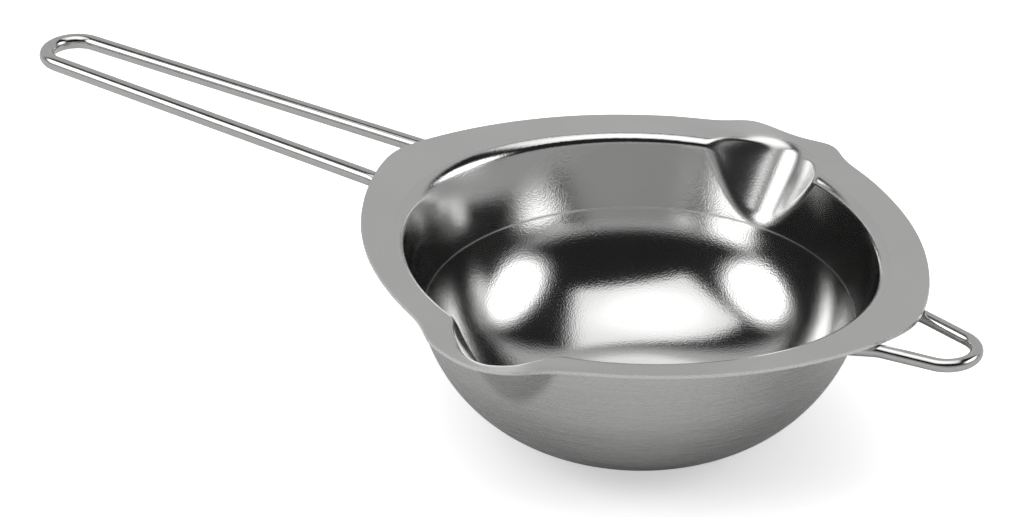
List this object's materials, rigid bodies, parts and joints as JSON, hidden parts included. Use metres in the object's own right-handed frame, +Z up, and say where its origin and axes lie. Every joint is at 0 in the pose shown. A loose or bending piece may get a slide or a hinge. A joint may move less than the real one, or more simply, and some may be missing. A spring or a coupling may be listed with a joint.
{
  "type": "candle melting pot",
  "caption": "Stainless steel pot for melting wax or chocolate over hot water: round bowl, flange with pouring spouts, long wire handle and wire rest hook.",
  "frame": {"origin": "centre of the bowl's flat bottom, on its outside", "axes": "+Z up through the opening, +X towards the rest hook, so that the long handle points to -X and the pouring spouts to -Y and +Y"},
  "size_m": [0.2833, 0.1408, 0.0501],
  "materials": {
    "bowl_steel": "satin flange and outside, polished inside",
    "wire_steel": "polished",
    "weld_steel": "matt"
  },
  "bodies": {
    "root": {"bowl": "bowl_steel", "long_handle": "wire_steel", "rest_hook": "wire_steel", "handle_weld_front": "weld_steel", "handle_weld_back": "weld_steel", "hook_weld_front": "weld_steel", "hook_weld_back": "weld_steel"}
  },
  "joints": []
}
